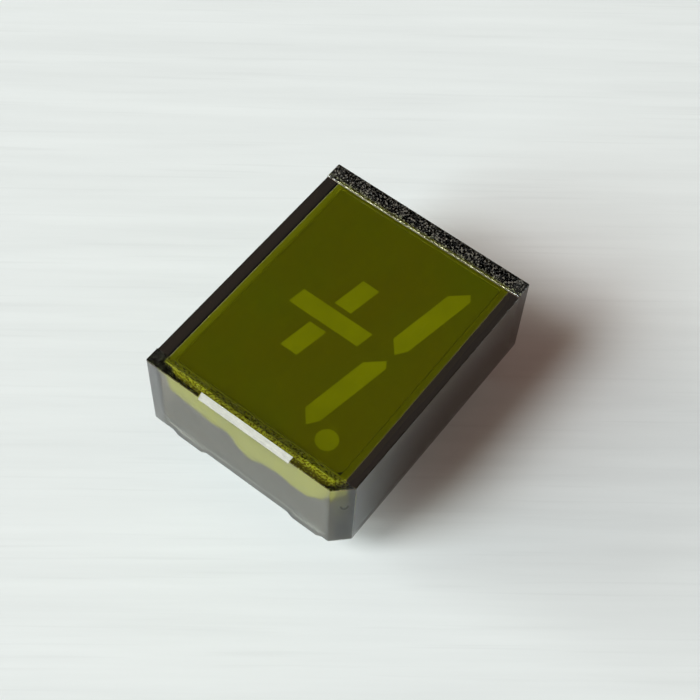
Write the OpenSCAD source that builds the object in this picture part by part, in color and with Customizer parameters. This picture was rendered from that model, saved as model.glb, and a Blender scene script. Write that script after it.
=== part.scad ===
// Five-segment LED display: plus or minus one, with a decimal point.
// A smoke-tinted cap, open at the back, holds a block with funnel wells. Resin
// fills the wells and rises round the block, a board under the block carries
// the light chips, a rear seal closes the back, and two rows of pins come out.
//
// X runs across the digit, Y up the digit and Z out of the window.
// The origin is the middle of the footprint, at the level of the pin tips.
// Lengths are in millimetres and angles in degrees.

/* [Cap] */
// Width of the cap, which is the raster of displays set side by side
body_w = 15; // [14.4:0.1:18]
// Length of the cap, along the digit
body_l = 18.9; // [18.6:0.1:22]
// Height of the cap from its rim to its ridges
cap_h = 7.1; // [6.8:0.1:10]
// Thickness of the side walls
wall = 0.8; // [0.6:0.05:0.9]
// Thickness of the window
window_t = 0.4; // [0.3:0.05:1]
// Radius of the upright corners
corner_r = 0.15; // [0.05:0.05:0.3]
// Size of the one flattened corner, which shows which way up the digit is
key_chamfer = 1.04; // [0.8:0.02:1.4]
// Height of the two ridges above the polished window
ridge_h = 0.12; // [0.04:0.02:0.2]
// Width of the ridge at the foot of the digit
ridge_front = 1.03; // [0.6:0.01:1.5]
// Width of the ridge at the head of the digit
ridge_rear = 1.22; // [0.6:0.01:1.5]
// Length of the trimmed film gate, in the middle of the front edge
gate_w = 6.9; // [4:0.1:9]
// How far the trimmed gate reaches in over the ridge
gate_in = 0.38; // [0.2:0.02:0.5]
// How far the trimmed gate reaches down the wall
gate_down = 0.31; // [0.2:0.01:0.5]
// Height of the feet below the rim
foot_h = 0.38; // [0.1:0.02:0.6]
// Width of each foot where it stands
foot_w = 1.9; // [1:0.1:2.6]
// How far each side of a foot slopes out, up to the rim
foot_slope = 0.4; // [0.1:0.05:0.5]
// Distance from the middle of the cap to the middle of each foot
foot_x = 4.6; // [3.4:0.1:4.8]

/* [Digit] */
// Lean of the digit
slant = 10; // [6:0.5:12]
// Width of the strokes of the plus sign
stroke = 1.26; // [1:0.02:1.4]
// Place of the plus sign's centre, across the digit
plus_x = -0.84; // [-1.3:0.02:-0.7]
// Place of the plus sign's centre, along the digit
plus_y = -0.02; // [-0.5:0.02:0.5]
// Length of the minus stroke
minus_len = 5.3; // [4.4:0.02:5.5]
// Length of each upright half of the plus sign
upright_len = 2.38; // [1.8:0.02:3]
// Space between the minus stroke and each upright half
plus_gap = 0.37; // [0.3:0.01:0.7]
// Place of the inner edge of the one, where its lean crosses the middle
one_x = 2.88; // [2.6:0.02:3]
// Width of the one's strokes
one_w = 1.28; // [1.1:0.02:1.5]
// Distance from the front of the cap to the foot of the one
one_foot_in = 2.68; // [2.5:0.02:4]
// Distance from the rear of the cap to the head of the one
one_head_in = 2.74; // [2.4:0.02:4]
// Space between the points of the two strokes of the one
one_gap = 0.64; // [0.4:0.02:1]
// Diameter of the decimal point
point_d = 1.44; // [1.36:0.02:1.56]
// Space between the decimal point and the outer edge of the one
point_gap = 0.5; // [0.3:0.02:0.6]
// Height of the decimal point's centre above the foot of the one
point_rise = -0.04; // [-0.1:0.02:0.2]

/* [Reflector block] */
// Space round the block, for the side resin
moat = 0.5; // [0.3:0.05:0.6]
// Height of the wider base that closes the cap
base_h = 2; // [1.6:0.1:2.4]
// Clearance between the base and the walls of the cap
base_clearance = 0.05; // [0.02:0.01:0.1]
// How far the back of the base lies inside the rim
base_recess = 0.2; // [0.1:0.05:0.4]
// Wall round the pocket in the back of the base
pocket_wall = 0.4; // [0.3:0.02:0.44]
// Depth of the pocket
pocket_depth = 1.8; // [1.5:0.1:2.4]
// How much narrower each well is at its floor, on every side
well_taper = 0.2; // [0.1:0.01:0.22]

/* [Resin] */
// Clearance drawn at each bond, between resin and what it holds
bond_line = 0.02; // [0.01:0.01:0.04]
// Depth of the side resin at the left front corner, below the ridges
resin_left = 0.8; // [0.6:0.05:2.2]
// Depth of the side resin at the flattened corner, below the ridges
resin_key = 1.5; // [1.2:0.05:2.6]
// Depth of the side resin at the two rear corners, below the ridges
resin_rear = 2.6; // [1.8:0.05:3]
// Diameter of the air bubble caught behind the flattened corner
bubble_d = 0.44; // [0.2:0.02:0.5]
// Depth of that bubble below the ridges
bubble_depth = 2.3; // [1.8:0.1:2.4]
// How far the rear seal lies below the back of the base
seal_recess = 0.15; // [0.05:0.05:0.3]
// How far the seal creeps along each pin
creep_h = 0.2; // [0.1:0.05:0.4]
// How far the seal spreads round each pin where it starts to creep
creep_w = 0.3; // [0.15:0.05:0.5]
// Thickness of the seal round each pin where the creep ends
creep_lip = 0.05; // [0.02:0.01:0.1]

/* [Carrier board] */
// Thickness of the board
board_t = 0.8; // [0.5:0.05:0.9]
// Clearance between the board and the wall of its pocket
board_clearance = 0.1; // [0.05:0.01:0.12]

/* [Pins] */
// Diameter of the pins
pin_d = 0.5; // [0.4:0.02:0.6]
// Distance from pin to pin along a row
pin_pitch = 2.5; // [2.2:0.02:2.54]
// Distance from the end of the cap to the row of pins beside it
row_in = 1.95; // [1.85:0.01:2.2]
// Length of the pins below the feet
pin_reach = 2.92; // [2:0.02:6]
// Chamfer at the tip of each pin
pin_tip = 0.1; // [0.05:0.01:0.15]
// Thickness of the tin that the free length of each pin is dipped in
tin_t = 0.02; // [0.01:0.01:0.04]
// Length of bare wire that stays between the tin and the level of the feet
bare_len = 0.3; // [0.1:0.05:0.6]
// Clearance between a pin and its hole in the board
pin_clearance = 0.02; // [0.01:0.01:0.05]
// Diameter of the collar that seats each pin against the board
collar_d = 0.8; // [0.7:0.02:0.9]
// Thickness of that collar
collar_h = 0.25; // [0.1:0.05:0.4]

/* [Chips and bond wires] */
// Side of each square light chip
chip_w = 0.35; // [0.25:0.01:0.4]
// Height of each chip
chip_h = 0.25; // [0.15:0.01:0.35]
// Thickness of the bond wires
wire_d = 0.04; // [0.025:0.005:0.06]
// Span of a bond wire, from the middle of its chip to its pad
wire_span = 0.5; // [0.44:0.02:0.54]

/* [Hidden] */
$fn = 48;

PINS_PER_ROW = 5;
PIN_COUNT = 2 * PINS_PER_ROW;

// Levels, from the pin tips up
z_foot = pin_reach;
z_rim = z_foot + foot_h;
z_top = z_rim + cap_h;
z_face = z_top - ridge_h;
z_inner = z_face - window_t;
z_front = z_inner - bond_line;
z_base = z_rim + base_recess;
z_seal = z_base + seal_recess;
z_board = z_base + pocket_depth;
z_board_back = z_board - board_t;
z_tin = z_foot - bare_len;

// Distances in from the outline of the cap
in_resin = wall + bond_line;
in_base = wall + base_clearance;
in_block = wall + moat;
in_pocket = in_base + pocket_wall;
in_board = in_pocket + board_clearance;

// The pins above their tin, and the distance between their two rows
wire_pin_d = pin_d - 2 * tin_t;
row_spacing = body_l - 2 * row_in;

// Length added to a cut where it runs out of the solid
beyond = 1;
// Thickness of the two outlines that a funnel well is drawn between
slice = 0.01;

// ---- The digit, before it leans ----

lean = tan(slant);
plus_mid = plus_x - plus_y * lean;
upright_mid = stroke / 2 + plus_gap + upright_len / 2;
one_len = (body_l - one_foot_in - one_head_in - one_gap) / 2;
one_lower_y = one_foot_in - body_l / 2;
one_upper_y = one_lower_y + one_len + one_gap;
point_y = one_lower_y + point_rise;
point_x = one_x + one_w + point_y * lean + point_gap + point_d / 2;

// Where the points of the one's strokes lie, as a share of the width, and how
// far each shoulder falls back from them: inner and outer, upper and lower
ONE_POINT = 0.7;
one_in_top = 0.95;
one_out_top = 0.48;
one_in_low = 0.87;
one_out_low = 0.7;

MINUS = upright_bar(plus_mid, plus_y, minus_len, stroke);
PLUS_UPPER = upright_bar(plus_mid, plus_y + upright_mid, stroke, upright_len);
PLUS_LOWER = upright_bar(plus_mid, plus_y - upright_mid, stroke, upright_len);
ONE_UPPER = one_stroke(one_upper_y);
ONE_LOWER = one_stroke(one_lower_y);

// Chips: place before the lean, and whether the wire runs along the lean
one_axis = one_x + one_w / 2;
one_near = one_len * 0.3;
one_far = one_len * 0.7;
point_mid = point_x - point_y * lean;
CHIPS = [
    [plus_mid - minus_len / 4, plus_y, false],
    [plus_mid + minus_len / 4, plus_y, false],
    [plus_mid, plus_y + upright_mid, true],
    [plus_mid, plus_y - upright_mid, true],
    [one_axis, one_upper_y + one_near, true],
    [one_axis, one_upper_y + one_far, true],
    [one_axis, one_lower_y + one_near, true],
    [one_axis, one_lower_y + one_far, true],
    [point_mid, point_y, true],
];

// ---- The wavy lower edge of the side resin ----

// Each list goes along one side, seen from outside, from left to right: place
// from -1 to 1, and depth below the ridges. Half cosine waves join the points.
EDGE_FRONT = [
    [-1, resin_left], [-0.95, 2.3], [-0.6, 2.6], [-0.45, 2.85], [-0.25, 2.55],
    [-0.08, 3.7], [0.02, 4.1], [0.22, 3.4], [0.4, 3.25], [0.58, 3.55], [0.72, 3.5],
    [0.9, 2.7], [1, resin_key],
];
EDGE_RIGHT = [
    [-1, resin_key], [-0.8, 2.9], [-0.35, 2.3], [0.1, 3.2], [0.55, 2.5],
    [0.8, 3], [1, resin_rear],
];
EDGE_REAR = [
    [-1, resin_rear], [-0.55, 3.4], [-0.2, 2.5], [0.2, 3.6], [0.65, 2.8],
    [1, resin_rear],
];
EDGE_LEFT = [
    [-1, resin_rear], [-0.6, 3.3], [-0.1, 2.6], [0.4, 3.1], [0.8, 2.2],
    [1, resin_left],
];
// Pieces that each half wave is drawn with
EDGE_STEPS = 5;

// ---- Functions ----

// A bar about its centre, before the lean
function upright_bar(x, y, w, l) = [
    [x - w / 2, y - l / 2], [x + w / 2, y - l / 2],
    [x + w / 2, y + l / 2], [x - w / 2, y + l / 2],
];

// One stroke of the one above its lower point, before the lean: six corners
function one_stroke(y) = [
    [one_x, y + one_in_low],
    [one_x + one_w * ONE_POINT, y],
    [one_x + one_w, y + one_out_low],
    [one_x + one_w, y + one_len - one_out_top],
    [one_x + one_w * ONE_POINT, y + one_len],
    [one_x, y + one_len - one_in_top],
];

// A point of the digit after the lean
function leaned(p) = [p[0] + p[1] * lean, p[1]];

// A point of a wavy edge, a share t of the way from its point a to its point b
function wave(a, b, t) = [
    a[0] + (b[0] - a[0]) * t,
    a[1] + (b[1] - a[1]) * (1 - cos(180 * t)) / 2,
];

// The middle of a pin's tip. Pins are counted from the lower left, seen from
// the front: rightwards along the lower row and back along the upper one.
function pin_place(i) =
    let (lower = i <= PINS_PER_ROW)
    let (step = lower ? i - 1 : PIN_COUNT - i)
    [(step - (PINS_PER_ROW - 1) / 2) * pin_pitch, (lower ? -1 : 1) * row_spacing / 2];

// ---- Shared shapes ----

// The outline of the cap with its flattened corner, moved in on every side
module outline(inset) {
    w = body_w - 2 * inset;
    l = body_l - 2 * inset;
    flat = key_chamfer - inset * (2 - sqrt(2));
    difference() {
        union() {
            square([w - 2 * corner_r, l], center = true);
            square([w, l - 2 * corner_r], center = true);
            for (x = [-1, 1], y = [-1, 1])
                translate([x * (w / 2 - corner_r), y * (l / 2 - corner_r)])
                    circle(corner_r);
        }
        if (flat > 0)
            translate([w / 2, -l / 2])
                polygon([
                    [-flat - beyond, -beyond], [beyond, -beyond], [beyond, flat + beyond],
                ]);
    }
}

// A solid of that outline, between two levels
module slab(inset, z_low, z_high) {
    translate([0, 0, z_low]) linear_extrude(z_high - z_low) outline(inset);
}

// ---- Cap ----

module cap() {
    color([0.27, 0.25, 0.22, 0.5])
        difference() {
            union() {
                slab(0, z_rim, z_top);
                feet();
            }
            slab(wall, z_rim - beyond, z_inner);
            window_recess();
            gate_trim();
        }
}

// The polished window lies between the two ridges and runs out at the sides
module window_recess() {
    translate([-body_w / 2 - beyond, ridge_front - body_l / 2, z_face])
        cube([body_w + 2 * beyond, body_l - ridge_front - ridge_rear, beyond]);
}

// The film gate is trimmed off at a slope
module gate_trim() {
    translate([-gate_w / 2, -body_l / 2, z_top])
        rotate([90, 0, 90])
            linear_extrude(gate_w)
                polygon([
                    [0, -gate_down], [gate_in, 0], [gate_in, beyond],
                    [-beyond, beyond], [-beyond, -gate_down],
                ]);
}

// Two feet under the front wall and two under the rear wall
module feet() {
    for (x = [-1, 1], y = [0, 1])
        translate([x * foot_x, wall - body_l / 2 + y * (body_l - wall), z_foot])
            rotate([90, 0, 0])
                linear_extrude(wall)
                    polygon([
                        [-foot_w / 2, 0], [foot_w / 2, 0],
                        [foot_w / 2 + foot_slope, foot_h],
                        [foot_w / 2 + foot_slope, foot_h + wall],
                        [-foot_w / 2 - foot_slope, foot_h + wall],
                        [-foot_w / 2 - foot_slope, foot_h],
                    ]);
}

// ---- Reflector block and the light bars in its wells ----

module reflector() {
    color([0.8, 0.8, 0.76])
        difference() {
            union() {
                slab(in_block, z_base, z_front);
                slab(in_base, z_base, z_base + base_h);
            }
            slab(in_pocket, z_base - beyond, z_board);
            well(MINUS);
            well(PLUS_UPPER);
            well(PLUS_LOWER);
            well(ONE_UPPER);
            well(ONE_LOWER);
            point_well();
        }
}

// A funnel from the board up to the window, narrower at its floor
module well(points) {
    translate([0, 0, z_board])
        hull() {
            linear_extrude(slice) offset(delta = -well_taper) digit_outline(points);
            translate([0, 0, z_front - z_board - slice])
                linear_extrude(slice) digit_outline(points);
        }
}

module digit_outline(points) {
    polygon([for (p = points) leaned(p)]);
}

module point_well() {
    translate([point_x, point_y, z_board])
        cylinder(h = z_front - z_board, d1 = point_d - 2 * well_taper, d2 = point_d);
}

// The resin cast in one well, round the chips and wires that stand there
module light_bar(first, last) {
    color([0.56, 0.62, 0.1])
        difference() {
            children();
            for (i = [first:last]) {
                chip_shape(i, bond_line);
                wire_shape(i, bond_line);
            }
        }
}

// ---- Side resin ----

// Resin that rose between the block and the cap
module side_resin() {
    bubble_in = in_resin + key_chamfer / 2;
    color([0.62, 0.66, 0.22])
        difference() {
            intersection() {
                slab(in_resin, z_base, z_front);
                union() {
                    resin_side(EDGE_FRONT, 0, block_w(), body_l, in_block);
                    resin_side(EDGE_RIGHT, 90, block_l(), body_w);
                    resin_side(EDGE_REAR, 180, block_w(), body_l, in_block);
                    resin_side(EDGE_LEFT, 270, block_l(), body_w);
                }
            }
            slab(in_block - bond_line, z_base - beyond, z_top);
            translate([body_w / 2 - bubble_in, bubble_in - body_l / 2, z_top - bubble_depth])
                sphere(d = bubble_d);
        }
}

function block_w() = body_w - 2 * in_block;
function block_l() = body_l - 2 * in_block;

// The resin along one side, from the window to its wavy edge. It is drawn at
// the front and turned to its side, and past lets it run on at both ends.
module resin_side(edge, turn, along, across, past = 0) {
    last = len(edge) - 1;
    rotate(turn)
        translate([0, in_block - across / 2, z_top])
            rotate([90, 0, 0])
                linear_extrude(in_block)
                    polygon(concat(
                        [[-along / 2 - past, 0], [-along / 2 - past, -edge[0][1]]],
                        [
                            for (k = [0:last - 1], j = [0:EDGE_STEPS - 1])
                                let (p = wave(edge[k], edge[k + 1], j / EDGE_STEPS))
                                [p[0] * along / 2, -p[1]]
                        ],
                        [[along / 2, -edge[last][1]], [along / 2 + past, -edge[last][1]]],
                        [[along / 2 + past, 0]]
                    ));
}

// ---- Board, chips and wires ----

module carrier_board() {
    color([0.62, 0.5, 0.3])
        difference() {
            slab(in_board, z_board_back, z_board);
            for (i = [1:PIN_COUNT])
                translate([pin_place(i)[0], pin_place(i)[1], z_board_back - beyond])
                    cylinder(h = board_t + 2 * beyond, d = wire_pin_d + 2 * pin_clearance);
        }
}

// What stands on the board at a chip's place, turned the way its wire runs
module at_chip(i) {
    chip = CHIPS[i - 1];
    place = leaned(chip);
    translate([place[0], place[1], z_board]) rotate(chip[2] ? 90 - slant : 0) children();
}

// The chip and its pad lie half a span to either side of that place
module chip_shape(i, grow = 0) {
    w = chip_w + 2 * grow;
    at_chip(i) translate([-wire_span / 2 - w / 2, -w / 2, 0]) cube([w, w, chip_h + grow]);
}

// A half ring from the top of the chip, and a leg down to the pad
module wire_shape(i, grow = 0) {
    d = wire_d + 2 * grow;
    at_chip(i) {
        translate([0, 0, chip_h])
            rotate([90, 0, 0])
                rotate_extrude(angle = 180) translate([wire_span / 2, 0]) circle(d = d);
        translate([wire_span / 2, 0, 0]) cylinder(h = chip_h, d = d);
    }
}

module led_chip(i) {
    color([0.75, 0.6, 0.35]) chip_shape(i);
}

module bond_wire(i) {
    color([0.95, 0.78, 0.3]) wire_shape(i);
}

// ---- Rear seal and pins ----

// The seal wets the pins and creeps a little way along each
module rear_seal() {
    color([0.7, 0.71, 0.66])
        difference() {
            union() {
                slab(in_pocket, z_seal, z_board_back);
                for (i = [1:PIN_COUNT])
                    translate([pin_place(i)[0], pin_place(i)[1], z_seal - creep_h])
                        cylinder(
                            h = creep_h,
                            d1 = wire_pin_d + 2 * creep_lip,
                            d2 = wire_pin_d + 2 * creep_w
                        );
            }
            for (i = [1:PIN_COUNT]) pin_shape(i);
        }
}

// A round pin with a chamfered tip, a dipped free length, bare wire above that
// and a collar under the board
module pin_shape(i) {
    translate([pin_place(i)[0], pin_place(i)[1], 0]) {
        cylinder(h = pin_tip, d1 = pin_d - 2 * pin_tip, d2 = pin_d);
        translate([0, 0, pin_tip]) cylinder(h = z_tin - pin_tip, d = pin_d);
        translate([0, 0, z_tin]) cylinder(h = z_board - z_tin, d = wire_pin_d);
        translate([0, 0, z_board_back - collar_h]) cylinder(h = collar_h, d = collar_d);
    }
}

module pin(i) {
    color([0.8, 0.8, 0.78]) pin_shape(i);
}

cap();
reflector();
side_resin();
carrier_board();
rear_seal();
light_bar(1, 2) well(MINUS);  // light_bar_minus
light_bar(3, 3) well(PLUS_UPPER);  // light_bar_plus_upper
light_bar(4, 4) well(PLUS_LOWER);  // light_bar_plus_lower
light_bar(5, 6) well(ONE_UPPER);  // light_bar_one_upper
light_bar(7, 8) well(ONE_LOWER);  // light_bar_one_lower
light_bar(9, 9) point_well();  // light_bar_point
for (i = [1:len(CHIPS)]) {
    led_chip(i);
    bond_wire(i);
}
for (i = [1:PIN_COUNT])
    pin(i);
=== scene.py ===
"""The finish of a five-segment LED display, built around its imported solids.

The smoke-tinted cap is a new surface, with the small edge radii, rough ridges
and trimmed film gate of a moulding. Everything that it holds stays as packed
and gets its own material.

Lengths are in metres, in the frame of the solids: X across the digit, Y up the
digit, Z out of the window, from the pin tips up.
"""

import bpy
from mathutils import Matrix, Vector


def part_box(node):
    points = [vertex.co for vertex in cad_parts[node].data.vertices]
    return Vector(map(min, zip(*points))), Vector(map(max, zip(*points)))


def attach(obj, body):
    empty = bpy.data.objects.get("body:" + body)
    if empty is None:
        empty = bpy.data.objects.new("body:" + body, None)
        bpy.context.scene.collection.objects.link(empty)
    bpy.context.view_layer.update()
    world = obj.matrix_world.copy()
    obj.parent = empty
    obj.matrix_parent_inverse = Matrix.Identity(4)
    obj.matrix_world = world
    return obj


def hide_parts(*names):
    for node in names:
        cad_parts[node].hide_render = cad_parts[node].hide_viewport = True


bl_info = {
    "name": "Five-segment LED display",
    "version": (1, 0, 0),
    "blender": (4, 5, 0),
    "location": "3D View > Sidebar > LED display",
    "description": "Dresses the solids of a five-segment LED display",
    "category": "Add Mesh",
}

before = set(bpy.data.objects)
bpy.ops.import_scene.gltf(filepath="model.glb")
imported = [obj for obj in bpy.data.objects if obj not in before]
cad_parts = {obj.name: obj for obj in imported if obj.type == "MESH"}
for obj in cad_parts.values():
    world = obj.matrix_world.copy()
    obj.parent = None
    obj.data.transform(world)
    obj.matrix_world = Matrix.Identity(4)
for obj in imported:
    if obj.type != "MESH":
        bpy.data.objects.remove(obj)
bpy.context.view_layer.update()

import math

import bmesh
import bpy
import numpy as np
from bpy.props import FloatProperty, FloatVectorProperty, PointerProperty
from mathutils import Matrix, Vector

MM = 0.001
BODY = "root"

CAP_LOW, CAP_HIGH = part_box("cap")
BLOCK_LOW, BLOCK_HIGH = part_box("reflector")

LIGHT_BARS = sorted(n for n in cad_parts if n.startswith("light_bar_"))
CHIPS = sorted(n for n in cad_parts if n.startswith("led_chip_"))
WIRES = sorted(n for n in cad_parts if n.startswith("bond_wire_"))
PINS = sorted(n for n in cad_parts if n.startswith("pin_"))

# Places this near to each other are one: levels and places along a wall, corners of a mesh
SAME_PLACE = 0.01 * MM
SAME_CORNER = 1e-4 * MM

# A corner of the side resin this near to an inner wall lies on it
BOND_LINE = 0.03 * MM

# The wavy edge keeps this far from the ends of its wall and from the block's front
EDGE_MARGIN = 0.1 * MM


# ---------------------------------------------------------------- properties


def length(name, description, default):
    """A length in metres that a user may change."""
    return FloatProperty(
        name=name, description=description, default=default, min=0.0, precision=5, unit="LENGTH"
    )


def colour(name, description, default):
    """A linear colour that a user may change."""
    return FloatVectorProperty(
        name=name,
        description=description,
        default=default,
        size=3,
        subtype="COLOR",
        min=0.0,
        max=1.0,
    )


def factor(name, description, default, high=1.0):
    """A plain number that a user may change."""
    return FloatProperty(name=name, description=description, default=default, min=0.0, max=high)


class CapSettings(bpy.types.PropertyGroup):
    """Sizes and finish of the smoke-tinted cap."""

    wall: length("Wall", "Thickness of the side walls", 0.8 * MM)
    window: length("Window", "Thickness of the polished window", 0.4 * MM)
    ridge_height: length("Ridge height", "Height of the ridges above the window", 0.12 * MM)
    ridge_rear: length("Rear ridge", "Width of the ridge at the head of the digit", 1.22 * MM)
    key_chamfer: length(
        "Key corner", "Size of the one flattened corner, and width of the front ridge", 1.04 * MM
    )
    foot_height: length("Foot height", "Height of the feet below the rim", 0.38 * MM)
    foot_width: length("Foot width", "Width of each foot where it stands", 1.9 * MM)
    foot_slope: length("Foot slope", "How far each side of a foot slopes out", 0.4 * MM)
    foot_place: length("Foot place", "From the middle of the cap to each foot", 4.6 * MM)
    gate_width: length("Gate width", "Length of the trimmed film gate", 6.9 * MM)
    gate_in: length("Gate depth", "How far the gate reaches in over the ridge", 0.38 * MM)
    gate_down: length("Gate height", "How far the gate reaches down the wall", 0.31 * MM)
    corner_radius: length("Corner radius", "Radius of the upright corners", 0.15 * MM)
    edge_radius: length("Edge radius", "Radius of the top and bottom edges", 0.06 * MM)
    lip: length("Rear lip", "Height of the slanted lip on the rear step", 0.045 * MM)
    lip_run: length("Rear lip depth", "Depth of the slanted lip on the rear step", 0.06 * MM)
    step_radius: length("Step radius", "Radius of the steps between window and ridges", 0.006 * MM)
    gate_radius: length("Gate edge", "Radius of the edges of the trimmed gate", 0.012 * MM)
    clear: colour("Clear through", "Light that passes 1 mm of the plastic", (0.61, 0.575, 0.50))
    haze: factor("Haze", "Share of light that the matt front scatters back", 0.045)
    # Painted glints: the ridges' specks scatter back light in place of glints off their grains
    specks: factor("Specks", "Share of light that the ridges' specks scatter back", 0.28)
    scar: colour("Scar", "Whitened plastic of the trimmed film gate", (0.478, 0.466, 0.415))


class InsideSettings(bpy.types.PropertyGroup):
    """Colours of what the cap holds."""

    front: colour("Block front", "Front of the block under its resin film", (0.124, 0.13, 0.0))
    block: colour("Block", "Moulded plastic of the block", (0.102, 0.106, 0.08))
    bar: colour("Light bar", "Diffusing resin in the wells", (0.268, 0.292, 0.0))
    # Painted light: a lighter copy of the block front's colour, shown on the side resin's front
    # where light gets in from the side
    ring: colour("Resin ring", "Side resin seen from the front", (0.204, 0.226, 0.002))
    resin: colour("Side resin", "Resin that rose round the block", (0.755, 0.835, 0.04))
    seal: colour("Rear seal", "Resin that closes the back", (0.16, 0.16, 0.145))
    board: colour("Board", "Laminate of the carrier board", (0.36, 0.24, 0.10))
    tin: colour("Tin", "Dipped tin on the pins", (0.72, 0.72, 0.70))
    wire: colour("Bare wire", "Wire of the pins above the tin", (0.62, 0.42, 0.28))
    chip: colour("Chip", "Crystal of the light chips", (0.35, 0.16, 0.03))
    gold: colour("Gold", "Bond wires", (0.95, 0.66, 0.22))


class StageSettings(bpy.types.PropertyGroup):
    """The floor, the room and the lamps."""

    floor: colour("Floor", "Pale table top", (0.84, 0.855, 0.85))
    backdrop: colour("Backdrop", "Pale surroundings near the horizon", (0.80, 0.82, 0.815))
    room: colour("Room", "Even warm light from the rest of the room", (0.15, 0.096, 0.078))
    ceiling: factor("Ceiling", "What the window mirrors from overhead", 0.015)
    tall_low: colour("Tall lamp, low half", "Its share of floor light", (0.295, 0.35, 0.352))
    tall_high: colour("Tall lamp, high half", "Its share of floor light", (0.313, 0.328, 0.334))
    side: colour("Side lamp", "Its share of floor light", (0.186, 0.197, 0.188))
    small: colour("Small lamp", "Light that polished faces mirror", (0.144, 0.152, 0.152))


# ------------------------------------------------------------------ materials


class Graph:
    """A small helper that adds nodes to one material and links them."""

    def __init__(self, name):
        self.material = bpy.data.materials.new(name)
        self.material.use_nodes = True
        self.tree = self.material.node_tree
        self.tree.nodes.clear()
        self.output = self.tree.nodes.new("ShaderNodeOutputMaterial")

    def add(self, kind, inputs=None, **settings):
        """Adds a node. inputs maps a socket's name or number to a value or a socket."""
        node = self.tree.nodes.new("ShaderNode" + kind)
        for key, value in settings.items():
            setattr(node, key, value)
        for key, value in (inputs or {}).items():
            if isinstance(value, bpy.types.NodeSocket):
                self.tree.links.new(value, node.inputs[key])
            else:
                node.inputs[key].default_value = value
        return node

    def maths(self, operation, first, second=0.0):
        """The result of a sum, product or comparison of two values or sockets."""
        return self.add("Math", {0: first, 1: second}, operation=operation).outputs[0]

    def product(self, first, *others):
        """The product of values or sockets."""
        for other in others:
            first = self.maths("MULTIPLY", first, other)
        return first

    def largest(self, first, *others):
        """The largest of values or sockets."""
        for other in others:
            first = self.maths("MAXIMUM", first, other)
        return first

    def stretch(self, vector, by):
        """A vector with each part times its own number."""
        return self.add("VectorMath", {0: vector, 1: by}, operation="MULTIPLY").outputs[0]

    def place(self):
        """Object coordinates in millimetres."""
        coordinates = self.add("TexCoord").outputs["Object"]
        return self.add("VectorMath", {0: coordinates, 3: 1 / MM}, operation="SCALE").outputs[0]

    def axis(self, place, name):
        """X, Y or Z of a place."""
        return self.add("SeparateXYZ", {0: place}).outputs[name]

    def noise(self, vector, scale, detail=3.0, roughness=0.5, low=0.3, high=0.7):
        """Noise with about scale grains per millimetre, and low to high stretched to 0 to 1."""
        inputs = {"Vector": vector, "Scale": scale, "Detail": detail, "Roughness": roughness}
        return self.ramp(self.add("TexNoise", inputs).outputs["Fac"], low, high)

    def ramp(self, value, low, high, low_to=0.0, high_to=1.0):
        """value mapped from low..high to low_to..high_to, and held there outside."""
        inputs = {"From Min": low, "From Max": high, "To Min": low_to, "To Max": high_to}
        return self.add("MapRange", {"Value": value, **inputs}).outputs[0]

    def past(self, value, level, width):
        """0 up to a level, rising to 1 at that width past it. A negative width looks back."""
        return self.ramp(value, level, level + width)

    def blend(self, share, first, second):
        """A colour between two colours or sockets."""
        node = self.add("Mix", data_type="RGBA")
        for index, value in ((0, share), (6, first), (7, second)):
            if isinstance(value, bpy.types.NodeSocket):
                self.tree.links.new(value, node.inputs[index])
            elif index:
                node.inputs[index].default_value = (*value, 1.0)
            else:
                node.inputs[index].default_value = value
        return node.outputs[2]

    def bump(self, height, depth, normal=None):
        """A normal raised by height times depth metres."""
        inputs = {"Height": height, "Distance": depth, "Strength": 1.0}
        if normal is not None:
            inputs["Normal"] = normal
        return self.add("Bump", inputs).outputs[0]

    def solid(self, tone, roughness, more):
        """The material of an opaque piece. more gives the other inputs of its shader."""
        inputs = {"Base Color": tone, "Roughness": roughness, **more}
        return self.finish(self.add("BsdfPrincipled", inputs).outputs[0])

    def finish(self, surface, volume=None):
        """Links the shader to the output and gives the material back."""
        self.tree.links.new(surface, self.output.inputs["Surface"])
        if volume is not None:
            self.tree.links.new(volume, self.output.inputs["Volume"])
        return self.material


def shade(rgb, by):
    """A colour times a number."""
    return tuple(min(1.0, c * by) for c in rgb)


def lean(rgb, by):
    """A colour with each channel times its own number."""
    return tuple(c * k for c, k in zip(rgb, by))


# Finishes. Lengths and levels among them are in millimetres, as Graph.place gives them.

# Tints of the cap's plastic, as shares of the light that passes or is mirrored
UNTINTED = (1.0, 1.0, 1.0)
RIDGE_TINT = (0.9, 0.87, 0.8)
# Darkens the ridges' grains, and also paints shade on the outer edge of the front ridge
DARK_GRAIN_AND_SHADE = (0.1, 0.075, 0.055)
# The next two tints colour painted glints, specks that scatter back light in place of glints off
# the grains
GREEN_PAINTED_GLINT = (0.95, 0.98, 0.5)
PALE_PAINTED_GLINT = (1.0, 0.9, 0.75)
RIM_TINT = (1.0, 0.78, 0.65)
BUBBLE_TINT = (0.08, 0.07, 0.04)
LIP_BRIGHT = (1.0, 0.98, 0.55)
LIP_DULL = (0.75, 0.74, 0.4)
THROUGH_SKIN = (0.96, 0.96, 0.96, 1.0)

# The bubble under the skin of the flattened corner: its centre and half width, with
# heights halved since it is twice as tall as it is wide, and the level below which
# its edge shows
BUBBLE_SQUEEZE = (1.0, 1.0, 0.5)
BUBBLE = (7.06, -8.8, 4.1)
BUBBLE_HALF = 0.22
BUBBLE_TOP = 8.3

# Roughness of the polish, least and most, of the matt front, and what the grain adds
POLISHED = (0.02, 0.05)
MATT = 0.4
GRAINED = 0.06

# Haze of the front's left end, raised as painted light for the light that comes in
# through the left wall, and of the flattened corner, over that of the front, and haze
# of the window's rims and of its nicks
END_HAZE_PAINTED_LIGHT, FLAT_HAZE = 2.3, 0.3
RIM_HAZE, NICK_HAZE = 0.023, 0.2

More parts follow.
